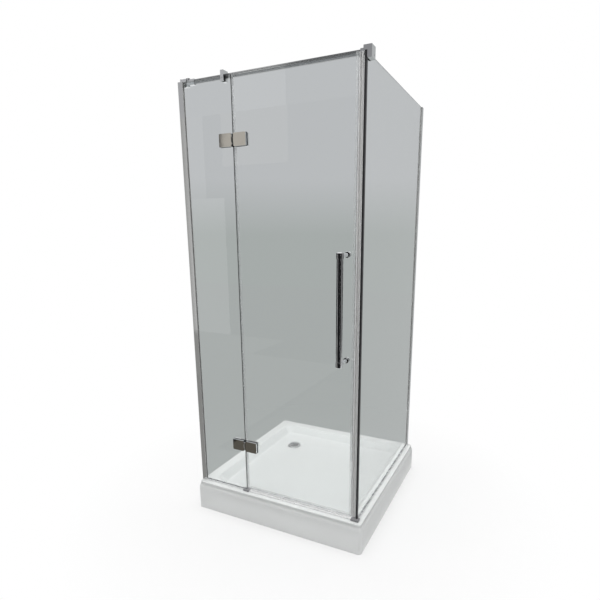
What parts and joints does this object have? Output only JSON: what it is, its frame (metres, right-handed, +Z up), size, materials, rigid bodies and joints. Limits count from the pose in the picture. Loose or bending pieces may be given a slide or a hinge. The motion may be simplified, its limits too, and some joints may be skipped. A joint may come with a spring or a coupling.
{
  "type": "shower cabin",
  "caption": "Square corner shower cabin: frameless clear glass panes in wall channels, an outward hinged door with a tube handle, and a raised white tray with a lift-out drain.",
  "frame": {"origin": "centre of the square tray on the floor, at the underside of the middle foot pad", "axes": "+X to the right along the front, the front faces -Y, +Z up; the left wall is at the least X and the rear wall at the greatest Y"},
  "size_m": [0.905, 0.9675, 2.079],
  "materials": {
    "white_acrylic": "glossy white sanitary acrylic",
    "board": "bare particle board",
    "zinc_steel": "zinc plated",
    "stainless_steel": "machined",
    "chrome": "mirror chrome",
    "polished_aluminium": "polished",
    "clear_glass": "clear toughened",
    "black_rubber": "matte",
    "magnet_rubber": "matte, pale, magnetic",
    "clear_seal": "soft, translucent",
    "black_plastic": "moulded",
    "grey_plastic": "moulded",
    "white_plastic": "moulded"
  },
  "bodies": {
    "cabin": {"tray": "white_acrylic", "apron": "white_acrylic", "apron_brackets": "zinc_steel", "base_board": "board", "support_frame": "zinc_steel", "leg_studs": "zinc_steel", "leg_pads": "black_plastic", "leg_nuts": "zinc_steel", "trap_body": "white_plastic", "trap_outlet": "white_plastic", "trap_ring": "white_plastic", "waste_seals": "black_rubber", "waste_flange": "chrome", "outlet_nut": "white_plastic", "front_wall_channel": "polished_aluminium", "rear_wall_channel": "polished_aluminium", "channel_caps": "chrome", "front_glass_gaskets": "black_rubber", "rear_glass_gaskets": "black_rubber", "fixed_glass": "clear_glass", "side_glass": "clear_glass", "front_sill": "polished_aluminium", "side_sill": "polished_aluminium", "setting_blocks": "grey_plastic", "threshold_strip": "polished_aluminium", "threshold_end_blocks": "black_plastic", "side_magnet_seal": "clear_seal", "side_magnet": "magnet_rubber", "upper_hinge_fixed_leaf": "chrome", "lower_hinge_fixed_leaf": "chrome", "hinge_fixed_clamps": "chrome", "hinge_pins": "stainless_steel", "hinge_fixed_gaskets": "black_rubber", "hinge_fixed_screws": "stainless_steel", "stabiliser_bar": "chrome", "bar_wall_bracket": "chrome", "bar_socket": "chrome", "bar_glass_clip": "chrome", "bar_corner_clamp": "chrome", "bar_clamp_pads": "black_rubber", "bar_screws": "stainless_steel"},
    "door": {"door_glass": "clear_glass", "door_magnet_seal": "clear_seal", "door_magnet": "magnet_rubber", "door_hinge_seal": "clear_seal", "door_drip_seal": "clear_seal", "upper_hinge_door_leaf": "chrome", "lower_hinge_door_leaf": "chrome", "hinge_door_clamps": "chrome", "hinge_door_gaskets": "black_rubber", "hinge_door_screws": "stainless_steel", "handle_bar": "chrome", "handle_posts": "chrome", "handle_rosettes": "chrome", "handle_glass_bushes": "clear_seal", "handle_bolts": "stainless_steel", "handle_inner_caps": "chrome"},
    "dip_tube": {"dip_tube": "grey_plastic"},
    "cover": {"drain_cover": "chrome"}
  },
  "joints": [
    {"name": "door_swing", "type": "hinge", "parent": "cabin", "child": "door", "pos_m": [-0.171, -0.427, 1.101], "axis": [0, 0, -1], "range_deg": [0, 100]},
    {"name": "dip_tube_lift", "type": "slide", "parent": "cabin", "child": "dip_tube", "axis": [0, 0, 1], "range_m": [0, 0.08]},
    {"name": "cover_lift", "type": "slide", "parent": "dip_tube", "child": "cover", "axis": [0, 0, 1], "range_m": [0, 0.04]}
  ]
}
